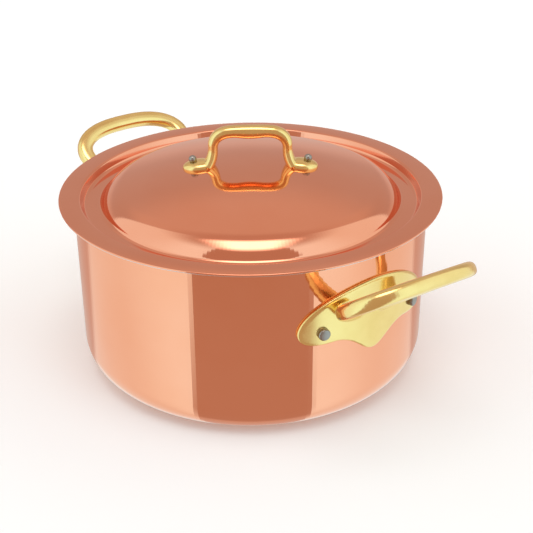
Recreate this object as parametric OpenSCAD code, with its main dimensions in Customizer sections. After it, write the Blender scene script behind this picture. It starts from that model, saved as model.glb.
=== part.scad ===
// Two-handled copper stewpan with a domed copper lid, in millimetres.
// Origin at the centre of the pan's underside, +Z up, side handles along +X and -X.

/* [Pan] */
// Outer radius of the pan's straight wall
pan_r = 122; // [110:1:135]
// Height of the rim above the underside
pan_h = 124; // [110:1:140]
// Outer radius of the rounded bottom corner
pan_corner_r = 22.5; // [12:0.5:30]
// Thickness of the copper layer of the pan
pan_copper_t = 1.7; // [1.2:0.1:2.5]
// Thickness of the steel lining of the pan and of the lid
lining_t = 0.3; // [0.2:0.05:0.6]

/* [Lid] */
// Outer radius of the flange that lies on the rim
flange_r = 132; // [129:0.5:136]
// Thickness of the copper layer of the lid
lid_copper_t = 1.3; // [0.8:0.1:1.6]
// Radius of the groove that drops inside the rim
groove_r = 113; // [112:0.5:114]
// Height of the dome's top above the rim
dome_rise = 18.9; // [17:0.1:21]
// Radius of curvature of the dome
dome_curve_r = 358.3; // [340:1:380]
// Angle that the lid is turned on the pan, about Z, from the side handles' line
lid_turn = 53.8; // [0:0.1:180]

/* [Side handles] */
// Half the width of the plate, across the curve of the wall
plate_half_w = 54; // [51:0.5:58]
// Height of the widest part of the plate
plate_mid_z = 74.5; // [70:0.5:85]
// Height of the plate's arched top edge
plate_top_z = 104; // [98:1:108]
// Height of the lowest point of the plate's lobe
lobe_z = 53.5; // [48:0.5:60]
// Thickness of the plate
plate_t = 3.2; // [2.5:0.1:4]
// Reach of the loop, along its own slope, from the wall to its middle line
loop_reach = 70.1; // [60:0.1:78]
// Half width of the loop's middle line, before its legs are pinched together
loop_half_w = 62; // [55:0.1:66]
// Slope of the loop above level
loop_slope = 36.5; // [30:0.5:42]
// Height at which the loop's plane meets the wall
loop_root_z = 81.9; // [77:0.1:84]
// Angle by which the right handle is riveted out of level, with its rear end lower
right_handle_tilt = 3; // [0:0.1:5]
// Angle by which a plate, with its rivets, is set round the wall from the middle of its loop
plate_turn = 2.7; // [0:0.1:4]

/* [Lid handle] */
// Distance of the lid handle's rivets from the middle of the lid
bow_rivet_x = 39; // [35:0.5:45]
// Height of the bow's middle line above the rim
bow_rise = 42.6; // [35:0.5:50]
// Half the width between the middle lines of the bow's legs
bow_half_w = 25.4; // [22:0.2:28]

/* [Hidden] */

COPPER = [0.80, 0.50, 0.38];
BRASS = [0.83, 0.67, 0.37];
STEEL = [0.72, 0.72, 0.70];

pan_wall_t = pan_copper_t + lining_t;
pan_inner_r = pan_r - pan_wall_t;
lid_sheet_t = lid_copper_t + lining_t;
round_fn = 96;

// Side rivets: place, shank and heads
side_rivet_angle = 18.4;
side_rivet_z = 74;
side_shank_r = 2.5;
side_head_r = 4;
side_head_h = 3;
inner_head_r = 5;
inner_head_h = 1.8;
// Room under the curved lining for the flat inner head of a lid rivet
inner_head_gap = 0.06;

// Lid rivets: shank and the ball-shaped head
lid_shank_r = 2;
lid_ball_r = 2.75;
lid_inner_head_r = 4.5;

// Lid profile, from the middle outwards. The dome's arc runs into a tighter shoulder
// arc, a hollow curve, a level shelf, the groove, a steep ramp and the flange.
lid_top_z = pan_h + lid_sheet_t;
dome_centre = [0, pan_h + dome_rise - dome_curve_r];
shoulder_r = 22;
shoulder_start = 14.3;
shoulder_end = 62;
hollow_r = 4;
shelf_slope = 0;
groove_curve_r = 3;
ramp_slope = 70;
bend_r = 2;
shoulder_centre = along(dome_centre, dome_curve_r - shoulder_r, shoulder_start);
hollow_centre = along(shoulder_centre, shoulder_r + hollow_r, shoulder_end);
shelf_start = along(hollow_centre, -hollow_r, shelf_slope);
groove_start_z = shelf_start[1] - (groove_r - shelf_start[0]) * tan(shelf_slope);
groove_centre = along([groove_r, groove_start_z], groove_curve_r, shelf_slope);
ramp_start = along(groove_centre, -groove_curve_r, -ramp_slope);
ramp_end_z = lid_top_z - bend_r * (1 - cos(ramp_slope));
ramp_end_x = ramp_start[0] + (ramp_end_z - ramp_start[1]) / tan(ramp_slope);
bend_centre = [ramp_end_x + bend_r * sin(ramp_slope), lid_top_z - bend_r];

// Loop of a side handle
loop_power = 2.6;
loop_pinch = 0.86;
loop_pinch_power = 1.48;
loop_half_section = [5.9, 4.85];
loop_root_r = pan_r - 4;
loop_root_depth = 10;
loop_steps = 56;
ring_points = 16;

// Bow of the lid handle
foot_t = 4.6;
foot_r = 8.2;
foot_shift = 5.5;
bow_steps = 12;

// Point at a distance from c, at an angle a from straight up
function along(c, d, a) = c + d * [sin(a), cos(a)];

// Points on an arc of an offset sheet: r is negative where the centre lies above the sheet
function arc(c, r, a0, a1, d, n) =
    [for (i = [0:n]) along(c, r - d, a0 + (a1 - a0) * i / n)];

// The lid's upper surface, moved down into the sheet by d
function lid_line(d) = concat(
    arc(dome_centre, dome_curve_r, 0, shoulder_start, d, 12),
    arc(shoulder_centre, shoulder_r, shoulder_start, shoulder_end, d, 8),
    arc(hollow_centre, -hollow_r, shoulder_end, shelf_slope, d, 8),
    arc(groove_centre, -groove_curve_r, shelf_slope, -ramp_slope, d, 8),
    arc(bend_centre, bend_r, -ramp_slope, 0, d, 6),
    [[flange_r, lid_top_z - d]]
);

function reversed(list) = [for (i = [len(list) - 1:-1:0]) list[i]];

function bezier(a, b, c, d, n) = [for (i = [0:n]) let (u = i / n, v = 1 - u)
    v * v * v * a + 3 * v * v * u * b + 3 * v * u * u * c + u * u * u * d];

function mirrored(list) = [for (i = [len(list) - 1:-1:0]) [-list[i][0], list[i][1]]];

function unit(v) = v / norm(v);

// Half of a curved outline raised to a power: 2 gives an ellipse, more gives squarer shoulders
function power_cos(a, p) = sign(cos(a)) * pow(abs(cos(a)), 2 / p);
function power_sin(a, p) = sign(sin(a)) * pow(abs(sin(a)), 2 / p);

// Only the right side handle, at angle 0, is out of level
function handle_tilt(side) = side == 0 ? right_handle_tilt : 0;

// Outline of the side handle's plate, as [across, height]
plate_arch = [for (i = [0:24]) let (a = 180 * i / 24)
    [plate_half_w * power_cos(a, 1.85),
     plate_mid_z + (plate_top_z - plate_mid_z) * power_sin(a, 1.85)]];
plate_lobe = concat(
    bezier([0, lobe_z], [8.5, lobe_z], [15, 66], [29, 66], 12),
    bezier([29, 66], [41, 64.5], [plate_half_w - 1, 63.5], [plate_half_w, plate_mid_z], 12)
);
plate_outline = concat(plate_arch, mirrored(plate_lobe), plate_lobe);

// Solid skinned over rings of points, each ring a list of the same length
module skin(rings) {
    n = len(rings[0]);
    last = len(rings) - 1;
    sides = [for (i = [0:last - 1], j = [0:n - 1]) let (k = (j + 1) % n)
        each [[i * n + j, i * n + k, (i + 1) * n + j], [i * n + k, (i + 1) * n + k, (i + 1) * n + j]]];
    caps = [for (j = [1:n - 2]) each [[0, j + 1, j], [last * n, last * n + j, last * n + j + 1]]];
    polyhedron(points = [for (ring = rings) each ring], faces = concat(sides, caps), convexity = 6);
}

// Ring of a swept bar: a rounded section round c, with half sizes a along u and b along v
function section(c, u, v, a, b, p) = [for (j = [0:ring_points - 1]) let (t = 360 * j / ring_points)
    c + a * power_cos(t, p) * u + b * power_sin(t, p) * v];

// Solid of revolution of a cup, with a rounded bottom corner, from height z0 to z1
module cup(r, corner, z0, z1) {
    rotate_extrude($fn = round_fn) {
        translate([0, z0]) square([r - corner, z1 - z0]);
        translate([0, z0 + corner]) square([r, z1 - z0 - corner]);
        translate([r - corner, z0 + corner]) circle(corner, $fn = round_fn);
    }
}

// Places a radial rivet or its hole: local +Z points outwards and local 0 is the pan's axis
module at_side_rivet(side, end) {
    reach = (pan_r + plate_t) * PI / 180 * side_rivet_angle;
    rotate([0, 0, side + plate_turn + end * side_rivet_angle])
        translate([0, 0, side_rivet_z - end * reach * sin(handle_tilt(side))])
            rotate([0, 90, 0]) children();
}

module side_rivet_holes(side) {
    for (end = [-1, 1])
        at_side_rivet(side, end)
            translate([0, 0, pan_inner_r - 6]) cylinder(r = side_shank_r, h = 24, $fn = round_fn);
}

module pan_copper_body() {
    color(COPPER) difference() {
        cup(pan_r, pan_corner_r, 0, pan_h);
        cup(pan_r - pan_copper_t, pan_corner_r - pan_copper_t, pan_copper_t, pan_h + 1);
        for (side = [0, 180]) side_rivet_holes(side);
    }
}

module pan_steel_lining() {
    color(STEEL) difference() {
        cup(pan_r - pan_copper_t, pan_corner_r - pan_copper_t, pan_copper_t, pan_h);
        cup(pan_inner_r, pan_corner_r - pan_wall_t, pan_wall_t, pan_h + 1);
        for (side = [0, 180]) side_rivet_holes(side);
    }
}

// Plate of a side handle: its outline cut out of a ring that hugs the wall
module handle_plate(tilt) {
    intersection() {
        difference() {
            cylinder(r = pan_r + plate_t, h = pan_h, $fn = round_fn);
            translate([0, 0, -1]) cylinder(r = pan_r, h = pan_h + 2, $fn = round_fn);
        }
        rotate([90, 0, 90]) linear_extrude(pan_r + plate_t + 5)
            translate([0, side_rivet_z]) rotate(-tilt) translate([0, -side_rivet_z])
                polygon(plate_outline);
    }
}

// Middle line of the loop, from the rear root round to the front one
function loop_point(a) = let (
        out = loop_reach * power_sin(a, loop_power),
        taper = 1 - loop_pinch * pow(1 - out / loop_reach, loop_pinch_power)
    ) [loop_root_r + out * cos(loop_slope),
       loop_half_w * power_cos(a, loop_power) * taper,
       loop_root_z + out * sin(loop_slope)];

// The section grows into the plate near the roots
function root_growth(p) = 1 + 0.3 * exp(-(p[0] - loop_root_r) / 9);

module handle_loop() {
    up = [-sin(loop_slope), 0, cos(loop_slope)];
    inward = -loop_root_depth * [cos(loop_slope), 0, sin(loop_slope)];
    rings = [for (i = [0:loop_steps]) let (
            a = 180 * i / loop_steps,
            c = loop_point(a),
            d = unit(loop_point(min(a + 1, 180)) - loop_point(max(a - 1, 0))),
            g = root_growth(c)
        ) section(c, unit(cross(d, up)), up, g * loop_half_section[0], g * loop_half_section[1], 2.6)];
    skin(concat(
        [[for (p = rings[0]) p + inward]],
        rings,
        [[for (p = rings[loop_steps]) p + inward]]
    ));
}

// The loop's roots end halfway through the plate, well inside its outline
module side_handle(side) {
    rotate([0, 0, side]) color(BRASS) difference() {
        union() {
            rotate([0, 0, plate_turn]) handle_plate(handle_tilt(side));
            difference() {
                translate([0, 0, side_rivet_z]) rotate([-handle_tilt(side), 0, 0])
                    translate([0, 0, -side_rivet_z]) handle_loop();
                cylinder(r = pan_r + plate_t / 2, h = 2 * pan_h, $fn = round_fn);
            }
        }
        rotate([0, 0, -side]) side_rivet_holes(side);
    }
}

// Rivet of a side handle: a button head outside, a shank, and a low head inside the pan
module side_rivet(side, end) {
    plate_r = pan_r + plate_t;
    color(STEEL) at_side_rivet(side, end) {
        translate([0, 0, pan_inner_r - 0.5])
            cylinder(r = side_shank_r, h = plate_r - pan_inner_r + 1, $fn = round_fn);
        difference() {
            translate([0, 0, plate_r - 1]) union() {
                cylinder(r = side_head_r, h = side_head_h + 0.3, $fn = round_fn);
                translate([0, 0, side_head_h + 0.3])
                    cylinder(r1 = side_head_r, r2 = side_head_r - 0.8, h = 0.7, $fn = round_fn);
            }
            rotate([0, 90, 0]) translate([0, 0, -20]) cylinder(r = plate_r, h = 40, $fn = round_fn);
        }
        intersection() {
            translate([0, 0, pan_inner_r - inner_head_h])
                cylinder(r1 = inner_head_r - 1.5, r2 = inner_head_r, h = inner_head_h + 1, $fn = round_fn);
            rotate([0, 90, 0]) translate([0, 0, -20]) cylinder(r = pan_inner_r, h = 40, $fn = round_fn);
        }
    }
}

// Sheet of the lid between two depths below its upper surface
module lid_sheet(d0, d1) {
    rotate_extrude($fn = round_fn) polygon(concat(lid_line(d0), reversed(lid_line(d1))));
}

// Stands children on the dome over the left (-1) or right (1) rivet, with +Z square to the dome
module on_dome(end) {
    rotate([0, 0, lid_turn]) translate([0, 0, dome_centre[1]])
        rotate([0, end * asin(bow_rivet_x / dome_curve_r), 0]) translate([0, 0, dome_curve_r]) children();
}

module lid_rivet_holes() {
    for (end = [-1, 1])
        on_dome(end) translate([0, 0, -8]) cylinder(r = lid_shank_r, h = 24, $fn = round_fn);
}

module lid_copper_shell() {
    color(COPPER) difference() {
        lid_sheet(0, lid_copper_t);
        lid_rivet_holes();
    }
}

module lid_steel_lining() {
    color(STEEL) difference() {
        lid_sheet(lid_copper_t, lid_sheet_t);
        lid_rivet_holes();
    }
}

// Middle line of the right half of the bow, from the foot up and over to the middle
bow_top = pan_h + bow_rise;
bow_half = concat(
    bezier([bow_half_w + 4, bow_top - 24], [bow_half_w + 0.6, bow_top - 20],
           [bow_half_w, bow_top - 15], [bow_half_w, bow_top - 11.2], bow_steps),
    bezier([bow_half_w, bow_top - 10.6], [bow_half_w, bow_top - 4],
           [bow_half_w - 5.6, bow_top - 0.6], [13, bow_top - 0.3], bow_steps),
    bezier([12, bow_top - 0.2], [8, bow_top], [4, bow_top], [0, bow_top], 4)
);
bow_line = concat(bow_half, [for (i = [len(bow_half) - 2:-1:0]) [-bow_half[i][0], bow_half[i][1]]]);

// Half thickness in the bow's plane and half depth across it, by height below the bow's top
function bow_section(z) = let (low = max(0, bow_top - 12 - z) / 12)
    [4.1 - 0.9 * min(1, max(0, bow_top - 3 - z) / 8) + 0.6 * low, 4.6 + 3.2 * low * low];

module bow() {
    last = len(bow_line) - 1;
    skin([for (i = [0:last]) let (
            p = bow_line[i],
            d = unit(bow_line[min(i + 1, last)] - bow_line[max(i - 1, 0)]),
            s = bow_section(p[1])
        ) section([p[0], 0, p[1]], [-d[1], 0, d[0]], [0, 1, 0], s[0], s[1], 2.4)]);
}

// Foot of the bow: a rounded pad that stands on the dome
module foot(end) {
    on_dome(end) translate([0, 0, -1]) hull() {
        cylinder(r = foot_r - 0.9, h = foot_t + 1, $fn = 32);
        translate([-end * foot_shift, 0, 0]) cylinder(r = foot_r, h = foot_t + 1, $fn = 32);
    }
}

module lid_handle() {
    color(BRASS) difference() {
        union() {
            rotate([0, 0, lid_turn]) bow();
            for (end = [-1, 1]) foot(end);
        }
        translate([0, 0, dome_centre[1]]) sphere(r = dome_curve_r, $fn = round_fn);
        lid_rivet_holes();
    }
}

// Rivet of the lid handle: a ball head on the foot, a shank, and a low head under the lining
module lid_rivet(end) {
    color(STEEL) on_dome(end) {
        translate([0, 0, -lid_sheet_t - 0.5])
            cylinder(r = lid_shank_r, h = lid_sheet_t + foot_t + 1.5, $fn = round_fn);
        intersection() {
            translate([0, 0, foot_t + 1.2]) sphere(r = lid_ball_r, $fn = round_fn);
            translate([0, 0, foot_t]) cylinder(r = 6, h = 6, $fn = round_fn);
        }
        translate([0, 0, -lid_sheet_t - inner_head_gap - inner_head_h])
            cylinder(r1 = lid_inner_head_r - 1.5, r2 = lid_inner_head_r, h = inner_head_h, $fn = round_fn);
    }
}

pan_copper_body();
pan_steel_lining();
side_handle(0);  // side_handle_right
side_handle(180);  // side_handle_left
side_rivet(0, -1);  // right_handle_rivet_front
side_rivet(0, 1);  // right_handle_rivet_rear
side_rivet(180, 1);  // left_handle_rivet_front
side_rivet(180, -1);  // left_handle_rivet_rear
lid_copper_shell();
lid_steel_lining();
lid_handle();
lid_rivet(-1);  // lid_rivet_left
lid_rivet(1);  // lid_rivet_right
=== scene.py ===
"""Two-handled copper stewpan with a domed copper lid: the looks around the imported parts."""

from math import asin, copysign, cos, exp, pi, radians, sin, tan

import bpy
from mathutils import Matrix, Vector


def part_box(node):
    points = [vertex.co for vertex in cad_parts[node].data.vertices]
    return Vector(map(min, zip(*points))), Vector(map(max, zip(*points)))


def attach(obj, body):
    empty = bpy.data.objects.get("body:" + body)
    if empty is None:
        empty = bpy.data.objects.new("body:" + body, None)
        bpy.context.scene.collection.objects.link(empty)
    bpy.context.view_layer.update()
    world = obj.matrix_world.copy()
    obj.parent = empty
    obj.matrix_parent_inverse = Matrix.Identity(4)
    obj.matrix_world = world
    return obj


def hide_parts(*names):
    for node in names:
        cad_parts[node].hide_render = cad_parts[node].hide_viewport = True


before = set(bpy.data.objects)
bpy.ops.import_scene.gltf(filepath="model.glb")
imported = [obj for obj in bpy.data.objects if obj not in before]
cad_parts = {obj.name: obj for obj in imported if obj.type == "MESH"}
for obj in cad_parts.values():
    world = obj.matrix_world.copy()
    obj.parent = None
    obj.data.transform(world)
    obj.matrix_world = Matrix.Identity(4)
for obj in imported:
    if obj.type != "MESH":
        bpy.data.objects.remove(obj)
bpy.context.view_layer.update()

MM = 0.001

# ---------------------------------------------------------------- sizes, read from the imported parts

pan_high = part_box("pan_copper_body")[1]
lining_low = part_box("pan_steel_lining")[0]
lid_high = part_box("lid_copper_shell")[1]
lid_lining_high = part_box("lid_steel_lining")[1]
bow_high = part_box("lid_handle")[1]

LINING_T = 0.3 * MM
PAN_R = pan_high.x
PAN_H = pan_high.z
COPPER_T = lining_low.z
WALL_T = COPPER_T + LINING_T
CORNER_R = 22.5 * MM
INNER_R = PAN_R - WALL_T
LID_COPPER_T = lid_high.z - lid_lining_high.z
LID_T = LID_COPPER_T + LINING_T
FLANGE_R = lid_high.x
DOME_TOP = lid_high.z
RIM_TOP = PAN_H + LID_T

LATHE_STEPS = 256

# Angle about Z from the side handles' line to the lid's bow, which lies across the camera's line
FRONT_TURN = radians(53.8)


# ---------------------------------------------------------------- small modelling tools

def deselect():
    if bpy.context.object and bpy.context.object.mode != "OBJECT":
        bpy.ops.object.mode_set(mode="OBJECT")
    bpy.ops.object.select_all(action="DESELECT")


def select_only(*objects):
    deselect()
    for o in objects:
        o.select_set(True)
    bpy.context.view_layer.objects.active = objects[0]


def named(name):
    piece = bpy.context.object
    piece.name = name
    piece.data.name = name
    return piece


def apply_modifier(piece, kind, **settings):
    """Adds a modifier with these settings and applies it at once."""
    select_only(piece)
    modifier = piece.modifiers.new(kind.title(), kind)
    for key, value in settings.items():
        setattr(modifier, key, value)
    bpy.ops.object.modifier_apply(modifier=modifier.name)


def join(*objects):
    select_only(*objects)
    bpy.ops.object.join()
    return bpy.context.object


def close_seams(piece, gap=0.002 * MM):
    """Merges doubles and turns the faces outwards."""
    select_only(piece)
    bpy.ops.object.mode_set(mode="EDIT")
    bpy.ops.mesh.select_all(action="SELECT")
    bpy.ops.mesh.remove_doubles(threshold=gap)
    bpy.ops.mesh.normals_make_consistent(inside=False)
    bpy.ops.object.mode_set(mode="OBJECT")


def smooth(piece, angle=30):
    select_only(piece)
    bpy.ops.object.shade_smooth_by_angle(angle=radians(angle))


def draw_line(name, points, close=False):
    """A chain of edges through points, drawn by extruding one vertex."""
    deselect()
    bpy.ops.mesh.primitive_plane_add(size=MM)
    piece = named(name)
    bpy.ops.object.mode_set(mode="EDIT")
    bpy.ops.mesh.select_mode(type="VERT")
    bpy.ops.mesh.select_all(action="SELECT")
    bpy.ops.mesh.merge(type="CENTER")
    bpy.ops.transform.translate(value=points[0])
    for before, here in zip(points, points[1:]):
        step = Vector(here) - Vector(before)
        bpy.ops.mesh.extrude_region_move(TRANSFORM_OT_translate={"value": step})
    bpy.ops.mesh.select_all(action="SELECT")
    if close:
        bpy.ops.object.mode_set(mode="OBJECT")
        for v in piece.data.vertices:
            v.select = v.index in (0, len(points) - 1)
        bpy.ops.object.mode_set(mode="EDIT")
        bpy.ops.mesh.edge_face_add()
        bpy.ops.mesh.select_all(action="SELECT")
    return piece


def turned(name, outline, steps=LATHE_STEPS, edge_angle=30):
    """A closed outline of (radius, height) points turned about Z, as on a lathe."""
    piece = draw_line(name, [(r, 0, z) for r, z in outline], close=True)
    bpy.ops.mesh.spin(steps=steps, angle=2 * pi, center=(0, 0, 0), axis=(0, 0, 1))
    bpy.ops.object.mode_set(mode="OBJECT")
    close_seams(piece)
    smooth(piece, edge_angle)
    return piece


def turn_over(piece, matrix):
    """Moves a finished mesh to its place, so that its object stays at the origin."""
    piece.data.transform(matrix)
    piece.data.update()
    return piece


# ---------------------------------------------------------------- outlines

def along(c, distance, angle):
    """Point at a distance from c, at an angle in degrees from straight up."""
    a = radians(angle)
    return (c[0] + distance * sin(a), c[1] + distance * cos(a))


def arc(c, r, a0, a1, n):
    return [along(c, r, a0 + (a1 - a0) * i / n) for i in range(n + 1)]


def cup_outline(outer_r, inner_r, corner, base, inner_base, top, lip):
    """Section of a cup's wall and bottom, from the middle outwards and back along the inside."""
    inner_corner = corner - (outer_r - inner_r)
    return (
        [(0, base), (outer_r * 0.4, base)]
        + arc((outer_r - corner, base + corner), corner, 180, 90, 24)
        + arc((outer_r - lip, top - lip), lip, 90, 0, 4)
        + arc((inner_r + lip, top - lip), lip, 0, -90, 4)
        + arc((inner_r - inner_corner, inner_base + inner_corner), inner_corner, 90, 180, 24)
        + [(inner_r * 0.4, inner_base), (0, inner_base)]
    )


class LidLine:
    """The lid's profile: dome, shoulder, hollow curve, level shelf, groove, steep ramp and flange."""

    curve_r, shoulder_r, hollow_r, groove_r, bend_r = [v * MM for v in (358.3, 22, 4, 3, 2)]
    shoulder_start, shoulder_end, shelf_slope, ramp_slope = 14.3, 62, 0, 70
    groove_at = 113 * MM

    def __init__(self):
        self.centre = (0, DOME_TOP - self.curve_r)
        self.shoulder = along(self.centre, self.curve_r - self.shoulder_r, self.shoulder_start)
        self.hollow = along(self.shoulder, self.shoulder_r + self.hollow_r, self.shoulder_end)
        shelf = along(self.hollow, -self.hollow_r, self.shelf_slope)
        groove_z = shelf[1] - (self.groove_at - shelf[0]) * tan(radians(self.shelf_slope))
        self.groove = along((self.groove_at, groove_z), self.groove_r, self.shelf_slope)
        ramp = along(self.groove, -self.groove_r, -self.ramp_slope)
        ramp_top = RIM_TOP - self.bend_r * (1 - cos(radians(self.ramp_slope)))
        ramp_end = ramp[0] + (ramp_top - ramp[1]) / tan(radians(self.ramp_slope))
        self.bend = (ramp_end + self.bend_r * sin(radians(self.ramp_slope)), RIM_TOP - self.bend_r)

    def at(self, d):
        """The profile moved down into the sheet by d, from the middle to the flange's bend."""
        return (
            arc(self.centre, self.curve_r - d, 0, self.shoulder_start, 40)
            + arc(self.shoulder, self.shoulder_r - d, self.shoulder_start, self.shoulder_end, 24)[1:]
            + arc(self.hollow, -self.hollow_r - d, self.shoulder_end, self.shelf_slope, 14)
            + arc(self.groove, -self.groove_r - d, self.shelf_slope, -self.ramp_slope, 12)
            + arc(self.bend, self.bend_r - d, -self.ramp_slope, 0, 10)
        )


# ---------------------------------------------------------------- the pan and the lid

PAN_LIP_R = 0.5 * MM
LINING_LIP_R = 0.1 * MM
LID_LINING_MARGIN = 0.5 * MM


def make_pan():
    copper = turned("pan_copper", cup_outline(
        PAN_R, PAN_R - COPPER_T, CORNER_R, 0, COPPER_T, PAN_H, PAN_LIP_R))
    lining = turned("pan_lining", cup_outline(
        PAN_R - COPPER_T, INNER_R, CORNER_R - COPPER_T, COPPER_T, WALL_T, PAN_H, LINING_LIP_R))
    return copper, lining


def make_lid():
    line = LidLine()
    half = LID_COPPER_T / 2
    copper_edge = arc((FLANGE_R - half, RIM_TOP - half), half, 0, 180, 8)
    copper = turned("lid_copper", line.at(0) + copper_edge + line.at(LID_COPPER_T)[::-1])
    edge = FLANGE_R - LID_LINING_MARGIN
    steel_edge = [(edge, RIM_TOP - LID_COPPER_T), (edge, PAN_H)]
    lining = turned("lid_lining", line.at(LID_COPPER_T) + steel_edge + line.at(LID_T)[::-1])
    return copper, lining


# ---------------------------------------------------------------- rivets

SIDE_RIVET_TURN = 18.4
SIDE_RIVET_Z = 74 * MM
PLATE_TURN = 2.7
RIGHT_TILT = 3
PLATE_T = 3.2 * MM
BOW_RIVET_X = 39 * MM
FOOT_T = 4.6 * MM


def make_side_rivet(name):
    """Along +Z from the pan's axis: low head inside, shank, and a flat button head outside."""
    plate = PAN_R + PLATE_T
    shank, head, inner = 2.5 * MM, 4 * MM, 5 * MM
    return turned(name, (
        [(0, INNER_R - 1.8 * MM)]
        + arc((0, INNER_R + 6.4 * MM), -8.2 * MM, 6, 34, 8)
        + [(inner, INNER_R - 0.4 * MM), (inner, INNER_R - 0.1 * MM), (shank, INNER_R - 0.1 * MM)]
        + [(shank, plate - 0.2 * MM), (head - 0.3 * MM, plate - 0.2 * MM), (head, plate + 0.2 * MM)]
        + [(head, plate + 1.6 * MM)]
        + arc((head - 1.2 * MM, plate + 1.7 * MM), 1.2 * MM, 90, 10, 8)
        + [(head * 0.45, plate + 3.05 * MM), (0, plate + 3.1 * MM)]
    ), steps=48, edge_angle=40)


def make_lid_rivet(name):
    """Along +Z square to the dome: low head under the lining, shank, and a ball head on the foot."""
    shank, ball, inner = 2 * MM, 2.75 * MM, 4.5 * MM
    return turned(name, (
        [(0, -LID_T - 1.8 * MM), (inner * 0.5, -LID_T - 1.7 * MM), (inner * 0.85, -LID_T - 1.1 * MM)]
        + [(inner, -LID_T - 0.1 * MM), (shank, -LID_T), (shank, FOOT_T - 0.2 * MM)]
        + [(ball * 0.8, FOOT_T - 0.1 * MM)]
        + arc((0, FOOT_T + 1.2 * MM), ball, 112, 24, 14)
        + [(ball * 0.3, FOOT_T + 3.78 * MM), (0, FOOT_T + 3.8 * MM)]
    ), steps=40, edge_angle=40)


def side_rivet_place(side, end, tilt):
    """Place on the handle at angle side: end is -1 or 1 round the wall, and tilt lowers the far end."""
    reach = (PAN_R + PLATE_T) * radians(SIDE_RIVET_TURN)
    height = SIDE_RIVET_Z - end * reach * sin(radians(tilt))
    return (
        Matrix.Rotation(radians(side + PLATE_TURN + end * SIDE_RIVET_TURN), 4, "Z")
        @ Matrix.Translation((0, 0, height))
        @ Matrix.Rotation(radians(90), 4, "Y")
    )


def on_dome(end):
    """Place on the dome over the left (-1) or right (1) rivet, with +Z square to the dome."""
    tilt = end * asin(BOW_RIVET_X / LidLine.curve_r)
    return (
        Matrix.Rotation(FRONT_TURN, 4, "Z")
        @ Matrix.Translation((0, 0, DOME_TOP - LidLine.curve_r))
        @ Matrix.Rotation(tilt, 4, "Y")
        @ Matrix.Translation((0, 0, LidLine.curve_r))
    )


# ---------------------------------------------------------------- cast handles

def power_point(angle, power):
    """Point of a rounded outline one unit across: power 2 is a circle, more is squarer."""
    c, s = cos(angle), sin(angle)
    wide = abs(c) ** (2 / power) * (1 if c >= 0 else -1)
    high = abs(s) ** (2 / power) * (1 if s >= 0 else -1)
    return wide, high


def drawn_bar(name, stations, power=2.4, sides=24):
    """A bar through stations of (centre, across, up, half width, half height): a disc is set at the
    first one, and its face is extruded from station to station."""
    deselect()
    bpy.ops.mesh.primitive_circle_add(vertices=sides, radius=MM, fill_type="NGON")
    piece = named(name)
    rings = []
    for centre, across, up, half_w, half_h in stations:
        rings.append([
            Vector(centre) + Vector(across) * (half_w * w) + Vector(up) * (half_h * h)
            for w, h in (power_point(2 * pi * i / sides, power) for i in range(sides))
        ])
    for v, place in zip(piece.data.vertices, rings[0]):
        v.co = place
    bpy.ops.object.mode_set(mode="EDIT")
    bpy.ops.mesh.select_all(action="SELECT")
    for ring in rings[1:]:
        bpy.ops.mesh.extrude_region_move(TRANSFORM_OT_translate={"value": (0, 0, 0)})
        bpy.ops.object.mode_set(mode="OBJECT")
        cap = [v for v in piece.data.vertices if v.select]
        for v, place in zip(cap, ring):
            v.co = place
        bpy.ops.object.mode_set(mode="EDIT")
    bpy.ops.object.mode_set(mode="OBJECT")
    close_seams(piece)
    return piece


def cast_together(name, parts, voxel, rounds, factor=0.5):
    """Melts parts into one casting with soft joints."""
    piece = join(*parts)
    piece.name = name
    apply_modifier(piece, "REMESH", mode="VOXEL", voxel_size=voxel)
    apply_modifier(piece, "SMOOTH", factor=factor, iterations=rounds)
    select_only(piece)
    bpy.ops.object.shade_smooth()
    return piece


# Plate and loop of a side handle
PLATE_HALF_W = 54 * MM
PLATE_MID_Z = 74.5 * MM
PLATE_TOP_Z = 104 * MM
PLATE_POWER = 1.85
PLATE_BEVEL_W = 1.6 * MM
PLATE_BEVEL_H = 1.1 * MM
LOBE_Z = 53.5 * MM
LOOP_REACH = 70.1 * MM
LOOP_HALF_W = 62 * MM
LOOP_SLOPE = radians(36.5)
LOOP_ROOT_Z = 81.9 * MM
LOOP_ROOT_R = PAN_R - 4 * MM
LOOP_POWER = 2.6
LOOP_PINCH = 0.86
LOOP_PINCH_POWER = 1.48
LOOP_HALF_SECTION = (5.9 * MM, 4.85 * MM)
LOOP_SECTION_POWER = 2.6
ROOT_GROWTH = 0.3
ROOT_GROWTH_LENGTH = 9 * MM


def bezier(a, b, c, d, n):
    a, b, c, d = Vector(a), Vector(b), Vector(c), Vector(d)
    points = []
    for i in range(n + 1):
        u = i / n
        v = 1 - u
        points.append(v * v * v * a + 3 * v * v * u * b + 3 * v * u * u * c + u * u * u * d)
    return points


def plate_outline():
    """Outline of a side handle's plate as (across, height), anticlockwise from its right end."""
    arch = []
    for i in range(49):
        w, h = power_point(pi * i / 48, PLATE_POWER)
        arch.append((PLATE_HALF_W * w, PLATE_MID_Z + (PLATE_TOP_Z - PLATE_MID_Z) * h))
    waist = (29 * MM, 66 * MM)
    lobe = bezier((0, LOBE_Z), (8.5 * MM, LOBE_Z), (15 * MM, 66 * MM), waist, 20)
    end = bezier(waist, (41 * MM, 64.5 * MM), (PLATE_HALF_W - MM, 63.5 * MM),
                 (PLATE_HALF_W, PLATE_MID_Z), 20)
    right = [(p[0], p[1]) for p in lobe[:-1] + end[:-1]]
    left = [(-x, z) for x, z in right[::-1]]
    return arch + left[:-1] + right


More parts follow.
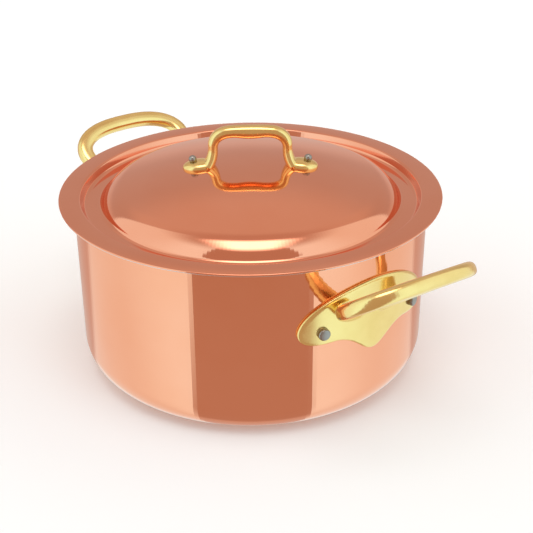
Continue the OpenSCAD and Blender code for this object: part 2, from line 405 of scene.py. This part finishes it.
def loop_point(angle):
    w, h = power_point(angle, LOOP_POWER)
    out = LOOP_REACH * h
    taper = 1 - LOOP_PINCH * (1 - h) ** LOOP_PINCH_POWER
    return Vector((
        LOOP_ROOT_R + out * cos(LOOP_SLOPE),
        LOOP_HALF_W * w * taper,
        LOOP_ROOT_Z + out * sin(LOOP_SLOPE),
    ))


def make_plate(tilt):
    """Flat plate with a bevelled front edge, turned out of level by tilt and wrapped round the wall."""
    c, s = cos(radians(tilt)), sin(radians(tilt))
    outline = []
    for y, z in plate_outline():
        rise = z - SIDE_RIVET_Z
        outline.append((PAN_R, y * c + rise * s, SIDE_RIVET_Z + rise * c - y * s))
    piece = draw_line("plate", outline, close=True)
    bpy.ops.mesh.edge_face_add()
    bpy.ops.mesh.extrude_region_move(TRANSFORM_OT_translate={"value": (PLATE_T - PLATE_BEVEL_H, 0, 0)})
    bpy.ops.mesh.inset(thickness=PLATE_BEVEL_W, depth=0)
    bpy.ops.transform.translate(value=(PLATE_BEVEL_H, 0, 0))
    bpy.ops.object.mode_set(mode="OBJECT")
    close_seams(piece)
    apply_modifier(piece, "TRIANGULATE")
    apply_modifier(piece, "REMESH", mode="VOXEL", voxel_size=0.6 * MM)
    for v in piece.data.vertices:
        turn = asin(v.co.y / PAN_R) + radians(PLATE_TURN)
        v.co = Vector((v.co.x * cos(turn), v.co.x * sin(turn), v.co.z))
    return piece


def make_side_handle(tilt):
    """Plate and loop cast as one. The section of the loop grows towards its roots."""
    up = Vector((-sin(LOOP_SLOPE), 0, cos(LOOP_SLOPE)))
    stations = []
    steps = 72
    for i in range(steps + 1):
        a = pi * i / steps
        centre = loop_point(a)
        ahead = loop_point(min(a + 0.02, pi)) - loop_point(max(a - 0.02, 0))
        across = ahead.normalized().cross(up)
        growth = 1 + ROOT_GROWTH * exp(-(centre.x - LOOP_ROOT_R) / ROOT_GROWTH_LENGTH)
        stations.append((centre, across, up, *(growth * half for half in LOOP_HALF_SECTION)))
    level = Matrix.Translation((0, 0, SIDE_RIVET_Z))
    loop = turn_over(drawn_bar("loop", stations, power=LOOP_SECTION_POWER),
                     level @ Matrix.Rotation(-radians(tilt), 4, "X") @ level.inverted())
    return cast_together("side_handle_cast", [make_plate(tilt), loop], 0.5 * MM, 5)


# Bow of the lid handle
BOW_HALF_W = 25.4 * MM
BOW_LINE_DROP = 4.2 * MM
BELLY_REACH = 10.5 * MM
FOOT_HALF_SIZES = (11.2 * MM, 8.7 * MM, 4.9 * MM)
FOOT_SHIFT = 3.6 * MM
SUNK = 0.2 * MM


def bow_stations(line, top):
    """Sections along the bow: thinner down the legs, deeper at the feet, with a belly under the grip."""
    stations = []
    for i, p in enumerate(line):
        ahead = line[min(i + 1, len(line) - 1)] - line[max(i - 1, 0)]
        ahead.normalize()
        low = max(0, top - 12 * MM - p.z) / (12 * MM)
        thin = min(1, max(0, top - 3 * MM - p.z) / (8 * MM))
        belly = 0.55 * cos(pi / 2 * p.x / BELLY_REACH) if abs(p.x) < BELLY_REACH else 0
        stations.append((p - Vector((0, 0, belly * MM)), (-ahead.z, 0, ahead.x), (0, 1, 0),
                         (4.15 + belly - 0.8 * thin + 0.7 * low) * MM, (4.9 + 3.2 * low * low) * MM))
    return stations


def make_foot(end):
    """Pillow-shaped pad, set square to the dome at the left (-1) or right (1) end."""
    deselect()
    bpy.ops.mesh.primitive_uv_sphere_add(segments=48, ring_count=24, radius=1)
    foot = named("foot")
    for v in foot.data.vertices:
        v.co.z = copysign(abs(v.co.z) ** 0.7, v.co.z)
    bpy.ops.transform.resize(value=FOOT_HALF_SIZES)
    bpy.ops.object.transform_apply(location=False, rotation=False, scale=True)
    tilt = Matrix.Rotation(end * asin(BOW_RIVET_X / LidLine.curve_r), 4, "Y")
    lift = Matrix.Translation((0, 0, DOME_TOP - LidLine.curve_r))
    out = Matrix.Translation((-end * FOOT_SHIFT, 0, LidLine.curve_r - SUNK))
    return turn_over(foot, lift @ tilt @ out)


def make_bow():
    """Bow of the lid handle, in the XZ plane, with its feet on the dome."""
    top = bow_high.z - BOW_LINE_DROP
    half_w = BOW_HALF_W
    line = bezier((half_w + 3.6 * MM, 0, top - 24 * MM), (half_w + 0.6 * MM, 0, top - 20 * MM),
                  (half_w, 0, top - 15 * MM), (half_w, 0, top - 11 * MM), 12)
    line += bezier((half_w, 0, top - 11 * MM), (half_w, 0, top - 4 * MM),
                   (half_w - 5.6 * MM, 0, top - 0.6 * MM), (13 * MM, 0, top - 0.3 * MM), 14)[1:]
    line += bezier((13 * MM, 0, top - 0.3 * MM), (9 * MM, 0, top),
                   (4 * MM, 0, top), (0, 0, top), 8)[1:]
    line += [Vector((-p.x, 0, p.z)) for p in line[-2::-1]]
    bow = drawn_bar("bow", bow_stations(line, top), power=2.3)
    feet = [make_foot(end) for end in (-1, 1)]
    piece = cast_together("lid_handle_cast", [bow] + feet, 0.4 * MM, 6)

    # What lies inside the dome is pressed out on to it
    centre = Vector((0, 0, DOME_TOP - LidLine.curve_r))
    for v in piece.data.vertices:
        out = v.co - centre
        if out.length < LidLine.curve_r:
            v.co = centre + out * ((LidLine.curve_r - 0.02 * MM) / out.length)
    close_seams(piece, 0.05 * MM)
    smooth(piece, 40)
    return turn_over(piece, Matrix.Rotation(FRONT_TURN, 4, "Z"))


# ---------------------------------------------------------------- materials

def new_material(name):
    material = bpy.data.materials.new(name)
    material.use_nodes = True
    tree = material.node_tree
    shader = tree.nodes["Principled BSDF"]
    return material, tree, shader


def add(tree, kind, **settings):
    node = tree.nodes.new(kind)
    for key, value in settings.items():
        if key in node.inputs:
            node.inputs[key].default_value = value
        else:
            setattr(node, key, value)
    return node


def rings_about_axis(tree):
    """Coordinates that only change with distance from Z and height, as a lathe's marks do."""
    place = add(tree, "ShaderNodeTexCoord")
    split = add(tree, "ShaderNodeSeparateXYZ")
    flat = add(tree, "ShaderNodeCombineXYZ")
    length = add(tree, "ShaderNodeVectorMath", operation="LENGTH")
    rings = add(tree, "ShaderNodeCombineXYZ")
    link = tree.links.new
    link(place.outputs["Object"], split.inputs[0])
    link(split.outputs["X"], flat.inputs["X"])
    link(split.outputs["Y"], flat.inputs["Y"])
    link(flat.outputs[0], length.inputs[0])
    link(length.outputs["Value"], rings.inputs["X"])
    link(split.outputs["Z"], rings.inputs["Z"])
    return place, rings


def polished_copper(name, colour, dull):
    material, tree, shader = new_material(name)
    link = tree.links.new
    shader.inputs["Metallic"].default_value = 1
    place, rings = rings_about_axis(tree)
    cloud = add(tree, "ShaderNodeTexNoise", Scale=14.0, Detail=3.0)
    tint = add(tree, "ShaderNodeValToRGB")
    tint.color_ramp.elements[0].position = 0.35
    tint.color_ramp.elements[0].color = (*dull, 1)
    tint.color_ramp.elements[1].position = 0.65
    tint.color_ramp.elements[1].color = (*colour, 1)
    marks = add(tree, "ShaderNodeTexNoise", Scale=1400.0, Detail=2.0)
    gloss = add(tree, "ShaderNodeMapRange")
    gloss.inputs["To Min"].default_value = 0.05
    gloss.inputs["To Max"].default_value = 0.10
    bump = add(tree, "ShaderNodeBump", Strength=0.02, Distance=0.00002)
    link(place.outputs["Object"], cloud.inputs["Vector"])
    link(cloud.outputs["Fac"], tint.inputs["Fac"])
    link(tint.outputs["Color"], shader.inputs["Base Color"])
    link(rings.outputs[0], marks.inputs["Vector"])
    link(marks.outputs["Fac"], gloss.inputs["Value"])
    link(gloss.outputs["Result"], shader.inputs["Roughness"])
    link(marks.outputs["Fac"], bump.inputs["Height"])
    link(bump.outputs["Normal"], shader.inputs["Normal"])
    return material


def cast_brass():
    material, tree, shader = new_material("cast_brass")
    link = tree.links.new
    shader.inputs["Metallic"].default_value = 1
    place = add(tree, "ShaderNodeTexCoord")
    cloud = add(tree, "ShaderNodeTexNoise", Scale=60.0, Detail=3.0)
    tint = add(tree, "ShaderNodeValToRGB")
    tint.color_ramp.elements[0].position = 0.3
    tint.color_ramp.elements[0].color = (0.89, 0.63, 0.23, 1)
    tint.color_ramp.elements[1].position = 0.7
    tint.color_ramp.elements[1].color = (0.95, 0.70, 0.28, 1)
    gloss = add(tree, "ShaderNodeMapRange")
    gloss.inputs["To Min"].default_value = 0.14
    gloss.inputs["To Max"].default_value = 0.26
    waves = add(tree, "ShaderNodeTexNoise", Scale=160.0, Detail=1.0)
    bump = add(tree, "ShaderNodeBump", Strength=0.08, Distance=0.0002)
    link(place.outputs["Object"], cloud.inputs["Vector"])
    link(place.outputs["Object"], waves.inputs["Vector"])
    link(cloud.outputs["Fac"], tint.inputs["Fac"])
    link(tint.outputs["Color"], shader.inputs["Base Color"])
    link(cloud.outputs["Fac"], gloss.inputs["Value"])
    link(gloss.outputs["Result"], shader.inputs["Roughness"])
    link(waves.outputs["Fac"], bump.inputs["Height"])
    link(bump.outputs["Normal"], shader.inputs["Normal"])
    return material


def brushed_steel(name, bright, dark, rough):
    material, tree, shader = new_material(name)
    link = tree.links.new
    shader.inputs["Metallic"].default_value = 1
    place, rings = rings_about_axis(tree)
    marks = add(tree, "ShaderNodeTexNoise", Scale=900.0, Detail=3.0)
    tint = add(tree, "ShaderNodeValToRGB")
    tint.color_ramp.elements[0].color = (*dark, 1)
    tint.color_ramp.elements[1].color = (*bright, 1)
    gloss = add(tree, "ShaderNodeMapRange")
    gloss.inputs["To Min"].default_value = rough - 0.06
    gloss.inputs["To Max"].default_value = rough + 0.08
    bump = add(tree, "ShaderNodeBump", Strength=0.15, Distance=0.00003)
    link(rings.outputs[0], marks.inputs["Vector"])
    link(marks.outputs["Fac"], tint.inputs["Fac"])
    link(tint.outputs["Color"], shader.inputs["Base Color"])
    link(marks.outputs["Fac"], gloss.inputs["Value"])
    link(gloss.outputs["Result"], shader.inputs["Roughness"])
    link(marks.outputs["Fac"], bump.inputs["Height"])
    link(bump.outputs["Normal"], shader.inputs["Normal"])
    return material


COPPER_PAN = polished_copper("copper_pan", (0.93, 0.40, 0.24), (0.91, 0.37, 0.21))
COPPER_LID = polished_copper("copper_lid", (0.93, 0.39, 0.24), (0.91, 0.36, 0.21))
BRASS = cast_brass()
LINING = brushed_steel("steel_lining", (0.72, 0.71, 0.68), (0.60, 0.59, 0.57), 0.30)
RIVET = brushed_steel("steel_rivet", (0.44, 0.40, 0.36), (0.27, 0.24, 0.21), 0.34)


def finish_piece(piece, body, slot, material, *nodes):
    piece.data.materials.clear()
    piece.data.materials.append(material)
    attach(piece, body)
    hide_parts(*nodes)


# ---------------------------------------------------------------- building

copper, lining = make_pan()
finish_piece(copper, "pan", "copper_pan", COPPER_PAN, "pan_copper_body")
finish_piece(lining, "pan", "steel_lining", LINING, "pan_steel_lining")

lid_copper, lid_lining = make_lid()
finish_piece(lid_copper, "lid", "copper_lid", COPPER_LID, "lid_copper_shell")
finish_piece(lid_lining, "lid", "steel_lining", LINING, "lid_steel_lining")

SIDE_RIVETS = {
    "right_handle_rivet_front": (0, -1),
    "right_handle_rivet_rear": (0, 1),
    "left_handle_rivet_front": (180, 1),
    "left_handle_rivet_rear": (180, -1),
}
for node, (side, end) in SIDE_RIVETS.items():
    place = side_rivet_place(side, end, RIGHT_TILT if side == 0 else 0)
    rivet = turn_over(make_side_rivet(node + "_turned"), place)
    finish_piece(rivet, "pan", "steel_rivets", RIVET, node)

for node, end in {"lid_rivet_left": -1, "lid_rivet_right": 1}.items():
    rivet = turn_over(make_lid_rivet(node + "_turned"), on_dome(end))
    finish_piece(rivet, "lid", "steel_rivets", RIVET, node)

SIDE_HANDLES = {"side_handle_right": (0, RIGHT_TILT), "side_handle_left": (180, 0)}
for node, (side, tilt) in SIDE_HANDLES.items():
    handle = make_side_handle(tilt)
    handle.name = handle.data.name = node + "_cast"
    turn_over(handle, Matrix.Rotation(radians(side), 4, "Z"))
    finish_piece(handle, "pan", "cast_brass", BRASS, node)

finish_piece(make_bow(), "lid", "cast_brass", BRASS, "lid_handle")


# ---------------------------------------------------------------- floor, light and camera

def studio(x, y, z):
    """A place given as right of the camera's line, away from the camera, and up."""
    return Matrix.Rotation(FRONT_TURN, 4, "Z") @ Vector((x, y, z))


def aim(thing, target, roll=0.0):
    direction = (target - thing.location).normalized()
    turn = direction.to_track_quat("-Z", "Y")
    thing.rotation_mode = "QUATERNION"
    thing.rotation_quaternion = turn @ Matrix.Rotation(roll, 4, "Z").to_quaternion()


deselect()
bpy.ops.mesh.primitive_plane_add(size=14)
floor = named("floor")
floor_material, floor_tree, floor_shader = new_material("floor_white")
floor_shader.inputs["Base Color"].default_value = (0.95, 0.95, 0.95, 1)
floor_shader.inputs["Roughness"].default_value = 0.9
floor_shader.inputs["Specular IOR Level"].default_value = 0.0
floor_shader.inputs["Emission Color"].default_value = (1, 1, 1, 1)
floor_shader.inputs["Emission Strength"].default_value = 0.12
floor.data.materials.append(floor_material)
floor.location.z = -0.0002
floor.visible_glossy = False


def smooth_step(tree, value, low, high):
    """0 below low and 1 above high, or the other way round where low is the larger."""
    node = tree.nodes.new("ShaderNodeMapRange")
    node.interpolation_type = "SMOOTHSTEP"
    node.inputs["From Min"].default_value = min(low, high)
    node.inputs["From Max"].default_value = max(low, high)
    node.inputs["To Min"].default_value = 0 if low < high else 1
    node.inputs["To Max"].default_value = 1 if low < high else 0
    tree.links.new(value, node.inputs["Value"])
    return node.outputs["Result"]


def calculate(tree, operation, *values):
    node = tree.nodes.new("ShaderNodeMath")
    node.operation = operation
    for socket, value in zip(node.inputs, values):
        if isinstance(value, (int, float)):
            socket.default_value = value
        else:
            tree.links.new(value, socket)
    return node.outputs["Value"]


def mix_colour(tree, factor, under, over):
    node = tree.nodes.new("ShaderNodeMix")
    node.data_type = "RGBA"
    sockets = [s for s in node.inputs if s.type == "RGBA"]
    tree.links.new(factor, node.inputs[0])
    for socket, value in zip(sockets, (under, over)):
        if isinstance(value, tuple):
            socket.default_value = (*value, 1)
        else:
            tree.links.new(value, socket)
    return [s for s in node.outputs if s.type == "RGBA"][0]


# Colours of the room that the metal mirrors
DARK_FRONT = (0.55, 0.40, 0.33)
ROOM_BACK = (0.69, 0.58, 0.52)
ROOM_TOP = (0.60, 0.46, 0.40)
ROOM_LOW = (0.57, 0.48, 0.44)
PANEL_NEAR = (1.05, 1.32, 1.42)
PANEL_FAR = (0.95, 1.05, 1.05)
SOFT_BOX = (3.2, 3.2, 3.2)
# Below the horizon the panels' edges run straight out of one point on the far side, this far from
# straight down
PANEL_FOOT = 0.883


def light_the_studio():
    """Tall soft panels on both sides, a soft box overhead, a dark gap in front and a dim room behind."""
    world = bpy.data.worlds.new("studio")
    bpy.context.scene.world = world
    world.use_nodes = True
    tree = world.node_tree
    link = tree.links.new
    place = tree.nodes.new("ShaderNodeTexCoord")
    turn = tree.nodes.new("ShaderNodeVectorRotate")
    turn.rotation_type = "Z_AXIS"
    turn.inputs["Angle"].default_value = -FRONT_TURN
    split = tree.nodes.new("ShaderNodeSeparateXYZ")
    link(place.outputs["Generated"], turn.inputs["Vector"])
    link(turn.outputs[0], split.inputs[0])
    across, away, up = split.outputs
    side = calculate(tree, "ABSOLUTE", across)
    azimuth = calculate(tree, "ARCTAN2", side, calculate(tree, "MULTIPLY", away, -1.0))
    height = calculate(tree, "ARCSINE", up)

    room = mix_colour(tree, smooth_step(tree, azimuth, radians(70), radians(110)), DARK_FRONT, ROOM_BACK)
    low = calculate(tree, "MULTIPLY",
                    smooth_step(tree, height, radians(4), radians(14)),
                    smooth_step(tree, height, radians(44), radians(28)))
    low = calculate(tree, "MULTIPLY", low, smooth_step(tree, azimuth, radians(90), radians(120)))
    room = mix_colour(tree, low, room, ROOM_LOW)
    room = mix_colour(tree, smooth_step(tree, height, radians(52), radians(70)), room, ROOM_TOP)
    panel = mix_colour(tree, smooth_step(tree, azimuth, radians(50), radians(95)), PANEL_NEAR, PANEL_FAR)

    # The panels' upright edges: straight up from the horizon, and below it running on to the ground
    upper = calculate(tree, "MULTIPLY",
                      smooth_step(tree, azimuth, radians(37.4), radians(38.6)),
                      smooth_step(tree, azimuth, radians(125), radians(121)))
    upper = calculate(tree, "MULTIPLY", upper, smooth_step(tree, height, radians(72), radians(48)))
    depth = calculate(tree, "SUBTRACT", PANEL_FOOT, away)
    sweep = calculate(tree, "ARCTAN2", side, depth)
    lower = calculate(tree, "MULTIPLY",
                      smooth_step(tree, sweep, radians(18.8), radians(20.2)),
                      smooth_step(tree, sweep, radians(68), radians(64)))
    above = smooth_step(tree, up, -0.06, 0.02)
    lit = calculate(tree, "ADD",
                    calculate(tree, "MULTIPLY", upper, above),
                    calculate(tree, "MULTIPLY", lower, calculate(tree, "SUBTRACT", 1.0, above)))
    sky = mix_colour(tree, lit, room, panel)
    box = calculate(tree, "MULTIPLY",
                    smooth_step(tree, side, 0.42, 0.14),
                    smooth_step(tree, up, 0.80, 0.93))
    box = calculate(tree, "MULTIPLY", box, smooth_step(tree, away, 0.14, -0.06))
    sky = mix_colour(tree, box, sky, SOFT_BOX)

    seen = tree.nodes.new("ShaderNodeLightPath")
    sky = mix_colour(tree, seen.outputs["Is Camera Ray"], sky, (1.0, 1.0, 1.0))
    link(sky, tree.nodes["Background"].inputs["Color"])


light_the_studio()

camera_data = bpy.data.cameras.new("camera")
camera = bpy.data.objects.new("camera", camera_data)
bpy.context.scene.collection.objects.link(camera)
camera_data.lens = 72
camera_data.sensor_width = 36
camera_data.clip_start = 0.01
camera.location = studio(0, -0.6842, 0.4164)
aim(camera, studio(0.0106, 0, 0.0629), roll=-0.0059)
bpy.context.scene.camera = camera
bpy.context.scene.view_settings.view_transform = "Standard"
